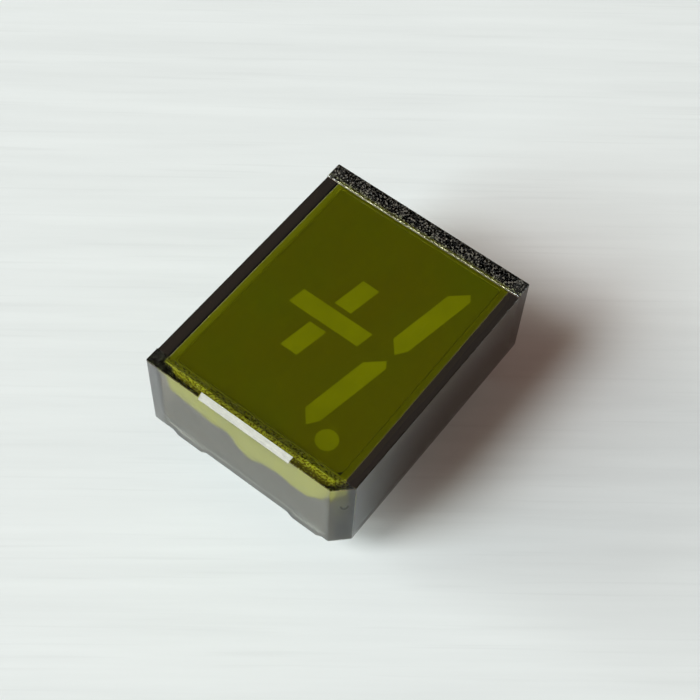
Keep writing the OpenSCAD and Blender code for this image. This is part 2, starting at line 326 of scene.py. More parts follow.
# Width of the painted shade band along the front ridge, and how far its edge is ragged
PAINTED_SHADE_BAND, RAGGED = 0.42, 0.12

# Density of the cap's plastic over its largest loss, so that its colour stays above 0
DENSITY_MARGIN = 1.2

# How the colour of the block's front leans from place to place
WARMER = (1.06, 0.97, 1.0)
GREENER = (0.95, 1.04, 1.0)

# Depth of the front of the block and of the side resin below its top
FILM_DEPTH = 0.012

# Along Y, the light bars grow lighter from the first to the second
BAR_FOOT = (-7.5, -3.0)

# From the cap's outside in past its walls, and from its feet up past its rim
PAST_WALL, PAST_RIM = 0.9, 0.7

# The gap behind the flattened corner: from the square corner in, summed over both
# legs, and the levels between which the painted light in it grows
CORNER_GAP = 2.3
PAINTED_CORNER_LIGHT = (5.0, 9.2)

# Bare wire between the body and the tin of a pin
BARE_WIRE = 0.3

# Radians per millimetre of the board's weave and of the chips' saw marks
WEAVE_TURNS, SAW_TURNS = 14.0, 160.0


class CapZones:
    """Where the finishes of the cap lie, each a share from 0 to 1, with levels in millimetres."""

    def __init__(self, g, cap):
        self.place = g.place()
        self.x, self.y, self.z = (g.axis(self.place, name) for name in "XYZ")
        self.off_middle = g.maths("ABSOLUTE", self.x)
        self.left_inner = (CAP_LOW.x + cap.wall) / MM
        self.face = (CAP_HIGH.z - cap.ridge_height) / MM
        self.front_y = CAP_LOW.y / MM
        self.rear_step = (CAP_HIGH.y - cap.ridge_rear) / MM
        front_step = (CAP_LOW.y + cap.key_chamfer) / MM
        flattened = (CAP_HIGH.x - CAP_LOW.y - cap.key_chamfer) / MM
        on_ridge = g.largest(
            g.past(self.y, front_step, -0.02), g.past(self.y, self.rear_step, 0.02)
        )
        # Tops of the two ridges
        self.raised = g.product(on_ridge, g.past(self.z, self.face + 0.03, 0.05))
        # The flattened corner, and the front wall with it
        self.corner = g.past(g.maths("SUBTRACT", self.x, self.y), flattened - 0.08, 0.06)
        self.front = g.largest(g.past(self.y, self.front_y + 0.08, -0.06), self.corner)
        # What is as high as the window, and of that the rims over the side walls
        self.window = g.past(self.z, self.face - 0.05, 0.03)
        self.rims = g.product(g.past(self.off_middle, -self.left_inner - 0.05, 0.1), self.window)


def cap_roughness(g, zones, grain):
    """Polished, with the front wall matt and the ridges grained."""
    polish = g.noise(zones.place, 0.6, detail=5.0, low=0.35, high=0.7)
    smooth = g.ramp(polish, 0.0, 1.0, *POLISHED)
    walls = g.largest(smooth, g.product(zones.front, MATT))
    return g.maths("ADD", walls, g.product(zones.raised, grain, GRAINED))


def cap_haze(g, cap, zones, fine):
    """Share of light that is scattered back: matt front with painted light at its left end, rims,
    painted glint specks and nicks.
    """
    left = zones.left_inner
    # Painted light: the left end of the front is hazier, for light that comes in through the left
    # wall
    matt = g.ramp(zones.x, left + 0.25, left - 0.1, cap.haze, END_HAZE_PAINTED_LIGHT * cap.haze)
    matt = g.product(zones.front, matt, g.ramp(zones.corner, 0.0, 1.0, 1.0, FLAT_HAZE))
    # Painted glints: few specks on the front ridge, and fewer towards the back of the rear one
    rear_side = g.ramp(zones.y, zones.rear_step - 0.3, zones.rear_step, 0.15, 1.0)
    thinning = g.ramp(zones.y, zones.rear_step + 0.1, CAP_HIGH.y / MM, 1.0, 0.4)
    specks = g.product(fine, zones.raised, cap.specks, rear_side, thinning)
    # A few small pale nicks in the window along the rear step
    nicks = g.noise(zones.place, 3.2, detail=2.0, low=0.68, high=0.71)
    by_step = g.past(zones.y, zones.rear_step - 0.3, 0.2)
    nicks = g.product(nicks, by_step, zones.window, NICK_HAZE)
    return g.largest(matt, specks, g.product(zones.rims, RIM_HAZE), nicks)


def cap_tint(g, zones, grain, fine):
    """Dark grains on the ridges, a painted shade band along the outer edge of the front one,
    painted glint tints, brown rims, a bubble.
    """
    # Painted shade: a dark band along the outer edge of the front ridge, where the wall below
    # swallows the light
    ragged = g.maths("ADD", zones.y, g.product(grain, RAGGED))
    painted_shade_band = g.past(ragged, zones.front_y + PAINTED_SHADE_BAND, -0.1)
    dark = g.product(g.largest(painted_shade_band, grain), zones.raised)
    tint = g.blend(dark, RIDGE_TINT, DARK_GRAIN_AND_SHADE)
    # Painted glints: the specks take a green tint on the front ridge and a pale one further back
    glint_tint = g.blend(g.past(zones.y, zones.rear_step + 0.15, 0.35), GREEN_PAINTED_GLINT, PALE_PAINTED_GLINT)
    tint = g.blend(g.product(fine, zones.raised), tint, glint_tint)
    off_ridge = g.maths("SUBTRACT", 1.0, zones.raised)
    tint = g.blend(off_ridge, tint, UNTINTED)
    tint = g.blend(g.product(zones.rims, off_ridge), tint, RIM_TINT)
    # The lower edge of a bubble under the skin of the flattened corner
    squeezed = g.stretch(zones.place, BUBBLE_SQUEEZE)
    away = g.add("VectorMath", {0: squeezed, 1: BUBBLE}, operation="DISTANCE").outputs["Value"]
    off_edge = g.maths("ABSOLUTE", g.maths("SUBTRACT", away, BUBBLE_HALF))
    bubble = g.product(g.past(off_edge, 0.1, -0.07), g.past(zones.z, BUBBLE_TOP, -0.3))
    return g.blend(bubble, tint, BUBBLE_TINT)


def cap_mirror(g, zones):
    """The lip along the rear step mirrors unevenly, and yellowish over the window."""
    on_lip = g.product(
        g.past(zones.z, zones.face + 0.05, 0.05),
        g.past(zones.y, zones.rear_step + 0.2, -0.05),
        g.past(zones.off_middle, -zones.left_inner, -0.1),
    )
    uneven = g.noise(zones.place, 3.0, detail=3.0, low=0.4, high=0.65)
    return g.blend(on_lip, UNTINTED, g.blend(uneven, LIP_BRIGHT, LIP_DULL))


def smoke_plastic(cap):
    """Clear smoke-tinted plastic: polished window and sides, rough ridges, a matt front.

    Inside, each millimetre lets the share cap.clear of the light through. A
    lamp's light passes straight through the skin.
    """
    g = Graph("smoke_plastic")
    zones = CapZones(g, cap)
    grain = g.noise(zones.place, 7.5, detail=2.0, low=0.47, high=0.53)
    # Painted glints: spots on the ridges that scatter back light in place of glints off their
    # grains
    fine = g.noise(zones.place, 9.0, detail=1.5, low=0.585, high=0.62)
    ripple = g.bump(g.noise(zones.place, 0.25, detail=2.0), 0.0009 * MM)
    glass = g.add(
        "BsdfPrincipled",
        {
            "Base Color": cap_tint(g, zones, grain, fine),
            "Specular Tint": cap_mirror(g, zones),
            "Roughness": cap_roughness(g, zones, grain),
            "IOR": 1.5,
            "Transmission Weight": g.maths("SUBTRACT", 1.0, cap_haze(g, cap, zones, fine)),
            "Normal": g.bump(g.product(grain, zones.raised), 0.008 * MM, ripple),
        },
    )
    lamp_path = g.add("LightPath").outputs["Is Shadow Ray"]
    open_way = g.add("BsdfTransparent", {"Color": THROUGH_SKIN})
    surface = g.add("MixShader", {0: lamp_path, 1: glass.outputs[0], 2: open_way.outputs[0]})
    losses = [-math.log(c) / MM for c in cap.clear]
    density = max(losses) * DENSITY_MARGIN
    passed = [1 - loss / density for loss in losses]
    volume = g.add("VolumeAbsorption", {"Color": (*passed, 1.0), "Density": density})
    return g.finish(surface.outputs[0], volume.outputs[0])


def gate_scar(cap):
    """Plastic that whitened where the film gate was cut off: crazed streaks along the cut."""
    g = Graph("gate_scar")
    place = g.place()
    streaks = g.noise(g.stretch(place, (0.35, 1.0, 1.0)), 9.0, detail=5.0, roughness=0.7)
    specks = g.noise(place, 22.0, detail=3.0, low=0.4, high=0.65)
    tone = g.blend(streaks, shade(cap.scar, 0.82), shade(cap.scar, 1.22))
    tone = g.blend(g.product(specks, 0.25), tone, shade(cap.scar, 0.5))
    return g.solid(tone, 0.55, {"IOR": 1.5, "Normal": g.bump(streaks, 0.012 * MM)})


def on_front(g, place):
    """1 on the front of the block and of the side resin, and 0 below it."""
    return g.past(g.axis(place, "Z"), BLOCK_HIGH.z / MM - FILM_DEPTH, 0.008)


def block_plastic(inside):
    """Grey moulded plastic, olive on the front, where the resin film wets it."""
    g = Graph("block_plastic")
    place = g.place()
    cloud = g.noise(place, 0.35, detail=4.0)
    bare = g.blend(cloud, shade(inside.block, 0.93), shade(inside.block, 1.05))
    warm, green = lean(inside.front, WARMER), lean(inside.front, GREENER)
    olive = g.blend(g.noise(place, 0.16, detail=3.0), warm, green)
    tone = g.blend(on_front(g, place), bare, olive)
    normal = g.bump(g.noise(place, 14.0, detail=3.0), 0.002 * MM)
    return g.solid(tone, 0.5, {"Specular IOR Level": 0.1, "Normal": normal})


def bar_resin(inside):
    """Diffusing resin of the light bars, with a faint flow pattern, darker at the foot."""
    g = Graph("bar_resin")
    place = g.place()
    flow = g.noise(place, 0.5, detail=4.0)
    dust = g.noise(place, 16.0, detail=2.0, low=0.35, high=0.65)
    foot = g.ramp(g.axis(place, "Y"), *BAR_FOOT, 0.6, 0.0)
    deep = g.maths("ADD", g.product(flow, 0.5), foot)
    tone = g.blend(deep, shade(inside.bar, 1.06), shade(inside.bar, 0.76))
    tone = g.blend(g.product(dust, 0.06), tone, shade(inside.bar, 1.3))
    return g.solid(tone, 0.5, {"Specular IOR Level": 0.1, "Normal": g.bump(dust, 0.0015 * MM)})


def side_resin(inside):
    """The same resin in the thin space round the block, with painted light where light enters from
    the side.
    """
    g = Graph("side_resin")
    place = g.place()
    x, y = g.axis(place, "X"), g.axis(place, "Y")
    swirl = g.noise(place, 0.8, detail=5.0, roughness=0.6)
    bubbles = g.noise(place, 7.0, detail=2.0, low=0.68, high=0.74)
    tone = g.blend(swirl, shade(inside.resin, 0.9), shade(inside.resin, 1.08))
    tone = g.blend(g.product(bubbles, 0.5), tone, shade(inside.resin, 0.6))
    # Seen from the front it is deep: painted light makes it lighter at the left and the foot, where
    # light gets in from the side
    streaks = g.noise(place, 1.3, detail=5.0, roughness=0.65)
    open_side = g.largest(
        g.past(x, BLOCK_LOW.x / MM + 0.7, -0.5), g.past(y, BLOCK_LOW.y / MM + 0.7, -0.5)
    )
    painted_side_light = g.product(open_side, g.ramp(streaks, 0.0, 1.0, 0.6, 1.0))
    tone = g.blend(on_front(g, place), tone, g.blend(painted_side_light, inside.front, inside.ring))
    return g.solid(tone, 0.5, {"Specular IOR Level": 0.1, "Normal": g.bump(swirl, 0.01 * MM)})


def wetted_wall_and_painted_shade(inside):
    """Where resin wets the cap: bright, with painted shade that dims it at the right and the rear,
    grey on the rim.
    """
    g = Graph("wetted_wall_and_painted_shade")
    place = g.place()
    x, y, z = (g.axis(place, name) for name in "XYZ")
    swirl = g.noise(place, 0.9, detail=5.0, roughness=0.6)
    streaks = g.noise(place, 3.0, detail=4.0, roughness=0.6)
    lit = g.blend(swirl, shade(inside.resin, 0.85), shade(inside.resin, 1.1))
    dim = g.blend(streaks, shade(inside.resin, 0.02), shade(inside.resin, 0.05))
    # Painted shade: the resin on the right and rear walls, away from the lamps, is dimmed
    painted_shade_side = g.largest(
        g.past(x, CAP_HIGH.x / MM - PAST_WALL, 0.08), g.past(y, CAP_HIGH.y / MM - PAST_WALL, 0.08)
    )
    on_rim = g.past(z, CAP_LOW.z / MM + PAST_RIM, -0.1)
    tone = g.blend(on_rim, g.blend(painted_shade_side, lit, dim), shade(inside.seal, 0.7))
    return g.solid(tone, 0.6, {"Specular IOR Level": 0.1, "Normal": g.bump(swirl, 0.01 * MM)})


def painted_shade_wall(inside):
    """Painted shade: a dark opaque sheet on the inner walls, for the gap behind them that no lamp
    reaches.
    """
    g = Graph("painted_shade_wall")
    place = g.place()
    x, y, z = (g.axis(place, name) for name in "XYZ")
    streaks = g.noise(place, 1.5, detail=4.0)
    tone = g.blend(streaks, shade(inside.block, 0.08), shade(inside.block, 0.3))
    # Painted light: behind the flattened corner the sheet grows lighter upwards, for light that
    # comes down through the resin
    flat = (CAP_HIGH.x - CAP_LOW.y) / MM - CORNER_GAP
    in_gap = g.past(g.maths("SUBTRACT", x, y), flat, 0.1)
    light = g.product(in_gap, g.ramp(z, *PAINTED_CORNER_LIGHT))
    tone = g.blend(light, tone, shade(inside.resin, 0.33))
    return g.solid(tone, 0.6, {"Specular IOR Level": 0.05})


def seal_resin(inside):
    """Grey potting resin, level and slightly glossy, with pinholes."""
    g = Graph("seal_resin")
    place = g.place()
    cloud = g.noise(place, 0.4, detail=5.0)
    pinholes = g.add("TexVoronoi", {"Vector": place, "Scale": 1.1}, feature="F1")
    # Painted shade: the pinholes are darker in their pits, besides their dip in the bump
    pit_and_painted_shade = g.past(pinholes.outputs["Distance"], 0.09, -0.04)
    tone = g.blend(cloud, shade(inside.seal, 0.88), shade(inside.seal, 1.06))
    tone = g.blend(g.product(pit_and_painted_shade, 0.7), tone, shade(inside.seal, 0.35))
    ripple = g.bump(g.noise(place, 0.3, detail=2.0), 0.01 * MM)
    normal = g.bump(g.maths("SUBTRACT", 1.0, pit_and_painted_shade), 0.03 * MM, ripple)
    return g.solid(tone, 0.32, {"IOR": 1.5, "Normal": normal})


def board_laminate(inside):
    """Paper and resin laminate: a fine weave, the product of two sines."""
    g = Graph("board_laminate")
    place = g.place()
    turns = (g.product(g.axis(place, name), WEAVE_TURNS) for name in "XY")
    warp, weft = (g.maths("SINE", turn) for turn in turns)
    weave = g.ramp(g.product(warp, weft), -1.0, 1.0)
    tone = g.blend(weave, shade(inside.board, 0.85), shade(inside.board, 1.1))
    return g.solid(tone, 0.5, {"Normal": g.bump(weave, 0.004 * MM)})


def tinned_pin(inside):
    """Dipped tin with drawn streaks, and bare wire between it and the body."""
    g = Graph("tinned_pin")
    place = g.place()
    tin_end = CAP_LOW.z / MM - BARE_WIRE
    streaks = g.noise(g.stretch(place, (1.0, 1.0, 0.15)), 9.0, detail=3.0)
    patches = g.noise(place, 2.5, detail=4.0)
    bright = g.blend(patches, shade(inside.tin, 0.8), shade(inside.tin, 1.1))
    dull = g.blend(patches, shade(inside.wire, 0.8), shade(inside.wire, 1.05))
    tone = g.blend(g.past(g.axis(place, "Z"), tin_end - 0.01, 0.02), bright, dull)
    roughness = g.ramp(patches, 0.0, 1.0, 0.22, 0.42)
    return g.solid(tone, roughness, {"Metallic": 1.0, "Normal": g.bump(streaks, 0.003 * MM)})


def chip_crystal(inside):
    """A diced crystal with sawn sides."""
    g = Graph("chip_crystal")
    height = g.axis(g.place(), "Z")
    lines = g.ramp(g.maths("SINE", g.product(height, SAW_TURNS)), -1.0, 1.0)
    tone = g.blend(lines, shade(inside.chip, 0.8), shade(inside.chip, 1.2))
    return g.solid(tone, 0.25, {"IOR": 1.7, "Normal": g.bump(lines, 0.001 * MM)})


def bond_gold(inside):
    """Drawn gold wire."""
    g = Graph("bond_gold")
    drawn = g.noise(g.place(), 30.0, detail=2.0)
    tone = g.blend(drawn, shade(inside.gold, 0.9), inside.gold)
    return g.solid(tone, g.ramp(drawn, 0.0, 1.0, 0.15, 0.3), {"Metallic": 1.0})


def table_top(stage):
    """White painted boards with a faint grain. From below it isn't there."""
    g = Graph("table_top")
    coordinates = g.add("TexCoord").outputs["Object"]
    turned = g.add(
        "Mapping",
        {"Vector": coordinates, "Rotation": (0.0, 0.0, GRAIN_TURN), "Scale": GRAIN_SIZE},
        vector_type="TEXTURE",
    ).outputs[0]
    streaks = g.noise(turned, 1.0, detail=4.0, roughness=0.6)
    tone = g.blend(streaks, shade(stage.floor, 0.965), shade(stage.floor, 1.03))
    finer = g.stretch(turned, (1.6, 4.0, 1.0))
    lines = g.product(g.noise(finer, 1.0, detail=2.0, low=0.58, high=0.7), 0.5)
    tone = g.blend(lines, tone, shade(stage.floor, 0.93))
    top = g.add("BsdfPrincipled", {"Base Color": tone, "Roughness": 0.6, "Specular IOR Level": 0.2})
    behind = g.add("NewGeometry").outputs["Backfacing"]
    below = g.product(behind, g.add("LightPath").outputs["Is Camera Ray"])
    surface = g.add(
        "MixShader", {0: below, 1: top.outputs[0], 2: g.add("BsdfTransparent").outputs[0]}
    )
    return g.finish(surface.outputs[0])


# --------------------------------------------------------------------- pieces


def dress(names, material):
    """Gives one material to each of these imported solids."""
    for name in names:
        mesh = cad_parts[name].data
        mesh.materials.clear()
        mesh.materials.append(material)


def outline(cap, inset):
    """Corners of the cap's outline moved in on every side, with the flattened corner.

    They run from the front left corner: front, flattened corner, right, rear.
    The flat keeps its distance from the middle less the inset, so each of its
    legs shortens by the inset times two less the root of two.
    """
    low_x, low_y = CAP_LOW.x + inset, CAP_LOW.y + inset
    high_x, high_y = CAP_HIGH.x - inset, CAP_HIGH.y - inset
    flat = cap.key_chamfer - inset * (2 - math.sqrt(2))
    return np.array(
        [
            (low_x, low_y),
            (high_x - flat, low_y),
            (high_x, low_y + flat),
            (high_x, high_y),
            (low_x, high_y),
        ]
    )


def foot_line(cap, rim):
    """X and Z along the lower edge of the front or rear wall, between its corners.

    Each foot is a trapezoid: down its slope to the ground level, along it, and
    up the other slope to the rim.
    """
    half = cap.foot_width / 2
    reach = half + cap.foot_slope
    foot_x = np.array([-reach, -half, half, reach])
    foot_z = np.array([rim, CAP_LOW.z, CAP_LOW.z, rim])
    centres = np.array([-cap.foot_place, cap.foot_place])
    x = (centres[:, None] + foot_x).ravel()
    z = np.tile(foot_z, len(centres))
    return x, z


def flat_run(x, y, z):
    """Points of a run, with what is a single number repeated."""
    return np.stack(np.broadcast_arrays(x, y, z), axis=-1).astype(float)


def resin_edge(inner):
    """The wavy lower edge of the side resin, laid on the inner walls, one run for each.

    A run takes each corner of the side resin that lies on its wall and below
    the front of the block, in order along the wall, and moves it out over the
    bond line. Each corner of the walls takes the level of the nearest of them.
    """
    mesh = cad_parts["side_resin"].data
    points = np.empty(len(mesh.vertices) * 3)
    mesh.vertices.foreach_get("co", points)
    points = points.reshape(-1, 3)
    points = points[points[:, 2] < BLOCK_HIGH.z - EDGE_MARGIN]
    runs = []
    for start, end in zip(inner, np.roll(inner, -1, axis=0)):
        span = np.linalg.norm(end - start)
        along = (end - start) / span
        across = np.array([-along[1], along[0]])
        offset = points[:, :2] - start
        place, inward = offset @ along, offset @ across
        between = (place > EDGE_MARGIN) & (place < span - EDGE_MARGIN)
        on_wall = between & (inward > 0) & (inward < BOND_LINE)
        place, level = place[on_wall], points[on_wall, 2]
        _, kept = np.unique(np.round(place / SAME_PLACE), return_index=True)
        run = np.column_stack([start + place[kept, None] * along, level[kept]])
        ends = []
        for corner in (start, end):
            nearest = np.argmin(np.linalg.norm(points[:, :2] - corner, axis=1))
            ends.append((*corner, points[nearest, 2]))
        runs.append(np.vstack([ends[:1], run, ends[1:]]))
    return runs


def cap_faces(cap):
    """The cap's flat faces, each a loop of points: clear, gate, wetted and shaded ones, the last
    under the painted shade sheet.

    The wall is a profile carried along the outline: up its inner side, under
    the rim and up its outer side. The window lies between two ridges.
    """
    rim = CAP_LOW.z + cap.foot_height
    top = CAP_HIGH.z
    face = top - cap.ridge_height
    ceiling = face - cap.window
    outer = outline(cap, 0.0)
    inner = outline(cap, cap.wall)
    front_step = CAP_LOW.y + cap.key_chamfer
    rear_step = CAP_HIGH.y - cap.ridge_rear
    ridge, lip = rear_step + cap.lip_run, top - cap.lip
    left, right = CAP_LOW.x, CAP_HIGH.x
    gate_x = np.array([-1.0, 1.0]) * cap.gate_width / 2
    gate_low = flat_run(gate_x, CAP_LOW.y, top - cap.gate_down)
    gate_edge = flat_run(gate_x, CAP_LOW.y, top)
    gate_back = flat_run(gate_x, CAP_LOW.y + cap.gate_in, top)
    foot_x, foot_z = foot_line(cap, rim)

    def at(points, z):
        """Points of an outline at one level."""
        return flat_run(points[:, 0], points[:, 1], z)

    # Lower edges: front and rear with their feet, outer and inner
    front_out = np.vstack(
        [at(outer[:1], rim), flat_run(foot_x, CAP_LOW.y, foot_z), at(outer[1:2], rim)]
    )
    front_in = np.vstack(
        [at(inner[:1], rim), flat_run(foot_x, inner[0, 1], foot_z), at(inner[1:2], rim)]
    )
    rear_out = np.vstack(
        [at(outer[4:5], rim), flat_run(foot_x, CAP_HIGH.y, foot_z), at(outer[3:4], rim)]
    )
    rear_in = np.vstack(
        [at(inner[4:5], rim), flat_run(foot_x, inner[4, 1], foot_z), at(inner[3:4], rim)]
    )

    faces = [
        # outer walls
        np.vstack([
            front_out,
            at(outer[1:2], top),
            gate_edge[1:],
            gate_low[::-1],
            gate_edge[:1],
            at(outer[:1], top),
        ]),
        np.vstack([at(outer[1:3], rim), at(outer[2:0:-1], top)]),
        np.array([
            (*outer[2], rim), (*outer[3], rim), (*outer[3], top), (right, ridge, top),
            (right, rear_step, lip), (right, rear_step, face), (right, front_step, face),
            (right, front_step, top),
        ]),
        np.vstack([rear_out, at(outer[3:5], top)]),
        np.array([
            (*outer[4], rim), (*outer[0], rim), (*outer[0], top), (left, front_step, top),
            (left, front_step, face), (left, rear_step, face), (left, rear_step, lip),
            (left, ridge, top), (*outer[4], top),
        ]),
        # top: front ridge, step, window, step with its lip, rear ridge
        np.vstack([
            at(outer[:1], top), gate_edge[:1], gate_back, gate_edge[1:],
            at(outer[1:3], top), [(left, front_step, top)],
        ]),
        np.array([
            (left, front_step, face), (left, front_step, top),
            (right, front_step, top), (right, front_step, face),
        ]),
        np.array([
            (left, front_step, face), (right, front_step, face),
            (right, rear_step, face), (left, rear_step, face),
        ]),
        np.array([
            (left, rear_step, face), (right, rear_step, face),
            (right, rear_step, lip), (left, rear_step, lip),
        ]),
        np.array([
            (left, rear_step, lip), (right, rear_step, lip),
            (right, ridge, top), (left, ridge, top),
        ]),
        np.vstack([[(left, ridge, top), (right, ridge, top)], at(outer[3:5], top)]),
        # ends of the trimmed gate
        np.vstack([gate_low[:1], gate_back[:1], gate_edge[:1]]),
        np.vstack([gate_low[1:], gate_edge[1:], gate_back[1:]]),
        # ceiling over the block
        at(inner, ceiling),
    ]

    # Rim, which the seal wets: flattened corner, right, left, front and rear
    wetted = [
        np.vstack([at(outer[1:3], rim), at(inner[2:0:-1], rim)]),
        np.vstack([at(outer[2:4], rim), at(inner[3:1:-1], rim)]),
        np.vstack([at(outer[[4, 0]], rim), at(inner[[0, 4]], rim)]),
    ]
    for low, high in ((front_out, front_in), (rear_out, rear_in)):
        wetted.extend(np.stack([low[:-1], low[1:], high[1:], high[:-1]], axis=1))

    # Inner walls, from the front round to the left: clear, or covered by the painted
    # shade sheet, below the resin's edge, and wetted by it above
    shaded = []
    inner_walls = [
        (front_in, faces),
        (at(inner[1:3], rim), shaded),
        (at(inner[2:4], rim), shaded),
        (rear_in[::-1], shaded),
        (at(inner[[4, 0]], rim), faces),
    ]
    for (lower, group), edge in zip(inner_walls, resin_edge(inner)):
        group.append(np.vstack([lower, edge[::-1]]))
        wetted.append(np.vstack([edge, at(edge[[-1, 0], :2], ceiling)]))
    gate = [np.vstack([gate_low, gate_back[::-1]])]
    return faces, gate, wetted, shaded


def closed_mesh(name, groups):
    """A mesh of flat faces that share their corners and face outwards, one slot for each group."""
    faces = [face for group in groups for face in group]
    slots = [slot for slot, group in enumerate(groups) for _ in group]
    loops = np.vstack(faces)
    counts = np.array([len(f) for f in faces])
    steps = np.round(loops / SAME_CORNER).astype(np.int64)
    _, first, index = np.unique(steps, axis=0, return_index=True, return_inverse=True)
    ends = np.cumsum(counts)
    index = index.ravel()
    rings = [index[end - count : end].tolist() for end, count in zip(ends, counts)]
    mesh = bpy.data.meshes.new(name)
    mesh.from_pydata(loops[first].tolist(), [], rings)
    mesh.polygons.foreach_set("material_index", slots)
    work = bmesh.new()
    work.from_mesh(mesh)
    bmesh.ops.recalc_face_normals(work, faces=work.faces)
    open_edges = sum(not e.is_manifold for e in work.edges)
    work.to_mesh(mesh)
    work.free()
    if open_edges:
        raise RuntimeError(f"{name} has {open_edges} open edges")
    return mesh


def edge_radii(mesh, cap):
    """Bevel weight of every edge: its radius as a share of the upright corners' radius.

    Upright outer edges have the full radius, the steps and the gate their own,
    and all the others that of the top and bottom edges.
    """
    count = len(mesh.vertices)
    points = np.empty(count * 3)
    mesh.vertices.foreach_get("co", points)
    points = points.reshape(-1, 3)
    ends = np.empty(len(mesh.edges) * 2, dtype=int)
    mesh.edges.foreach_get("vertices", ends)
    first, second = points[ends.reshape(-1, 2)].transpose(1, 0, 2)
    middle, along = (first + second) / 2, np.abs(second - first)
    tiny = SAME_PLACE
    # Least length of an upright edge, and how far the flattened corner and the steps reach
    least = 1.0 * MM
    flat_reach = 2.5 * cap.key_chamfer
    step_reach = 1.1 * cap.ridge_height

    def near(values, level):
        """Which values lie at a level."""
        return np.abs(values - level) < tiny

    outside = (
        near(middle[:, 0], CAP_LOW.x) | near(middle[:, 0], CAP_HIGH.x)
        | near(middle[:, 1], CAP_LOW.y) | near(middle[:, 1], CAP_HIGH.y)
    )
    upright = (along[:, 0] < tiny) & (along[:, 1] < tiny) & (along[:, 2] > least)
    square = middle[:, 0] - middle[:, 1] < CAP_HIGH.x - CAP_LOW.y - flat_reach
    past_step = middle[:, 1] - (CAP_HIGH.y - cap.ridge_rear)
    on_lip = (past_step > -tiny) & (past_step < cap.lip_run + tiny)
    on_steps = (near(middle[:, 1], CAP_LOW.y + cap.key_chamfer) | on_lip) & (
        middle[:, 2] > CAP_HIGH.z - step_reach
    )
    at_gate = (
        (np.abs(middle[:, 0]) < cap.gate_width / 2 + tiny)
        & (middle[:, 1] < CAP_LOW.y + cap.gate_in + tiny)
        & (middle[:, 2] > CAP_HIGH.z - cap.gate_down - tiny)
    )
    radius = np.full(len(middle), cap.edge_radius)
    radius[on_steps] = cap.step_radius
    radius[at_gate] = cap.gate_radius
    radius[upright & outside & square] = cap.corner_radius
    return radius / cap.corner_radius


def make_cap(cap, inside):
    """The smoke-tinted cap, with rounded edges, in place of its plain solid."""
    mesh = closed_mesh("smoke_cap", cap_faces(cap))
    weights = mesh.attributes.new("bevel_weight_edge", "FLOAT", "EDGE")
    weights.data.foreach_set("value", edge_radii(mesh, cap).astype(np.float32))
    slots = smoke_plastic(cap), gate_scar(cap), wetted_wall_and_painted_shade(inside), painted_shade_wall(inside)
    for material in slots:
        mesh.materials.append(material)
    mesh.shade_smooth()
    piece = bpy.data.objects.new("smoke_cap", mesh)
    bpy.context.scene.collection.objects.link(piece)
    bevel = piece.modifiers.new("rounded_edges", "BEVEL")
    bevel.limit_method = "WEIGHT"
    bevel.width = cap.corner_radius
    bevel.segments = 4
    bevel.miter_outer = "MITER_SHARP"
    normals = piece.modifiers.new("even_normals", "WEIGHTED_NORMAL")
    normals.weight = 100
    normals.keep_sharp = False
    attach(piece, BODY)
    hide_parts("cap")


# ---------------------------------------------------------------------- stage

# The camera: its eye, the way it looks and how far it leans to one side
EYE = Vector((27.925, -39.779, 88.165)) * MM
VIEW_AZIMUTH = math.radians(34.34)
VIEW_ELEVATION = math.radians(59.07)
VIEW_LEAN = math.radians(3.65)
LENS = 77.43
SENSOR = 36.0

# The table top: from its middle to each edge, and the way and size of its grain
FLOOR_HALF = 3.0
GRAIN_TURN = math.radians(37.5)
GRAIN_SIZE = (0.03, 0.0016, 1.0)

# The room turns from the dark ceiling to the pale horizon between these heights,
# as sines of the angle above the floor
CEILING_DOWN_TO, HORIZON_UP_TO = 0.55, 0.35

# Lamps: compass direction from +X, height above the floor, and half width as
# seen from the object. The tall one is made of two. Polished faces mirror only
# the small lamp, so that no wall turns white.
TALL_LOW = tuple(math.radians(a) for a in (-116.4, 30.0, 17.0))
TALL_HIGH = tuple(math.radians(a) for a in (-118.8, 50.6, 11.0))
SIDE = tuple(math.radians(a) for a in (-154.4, 17.3, 15.0))
SMALL = tuple(math.radians(a) for a in (-114.3, 45.1, 6.0))
LAMP_DISTANCE = 2.5


def add_camera():
    """A camera at the eye, turned to the view's azimuth and elevation, and leant."""
    back = Vector((
        math.sin(VIEW_AZIMUTH) * math.cos(VIEW_ELEVATION),
        -math.cos(VIEW_AZIMUTH) * math.cos(VIEW_ELEVATION),
        math.sin(VIEW_ELEVATION),
    ))
    level = (-back).to_track_quat("-Z", "Y").to_matrix()
    lean = Matrix.Rotation(VIEW_LEAN, 3, "Z")
    data = bpy.data.cameras.new("camera")
    data.lens = LENS
    data.sensor_width = SENSOR
    data.clip_start = 0.005
    data.clip_end = 10.0
    camera = bpy.data.objects.new("camera", data)
    camera.matrix_world = Matrix.Translation(EYE) @ (level @ lean).to_4x4()
    bpy.context.scene.collection.objects.link(camera)
    bpy.context.scene.camera = camera


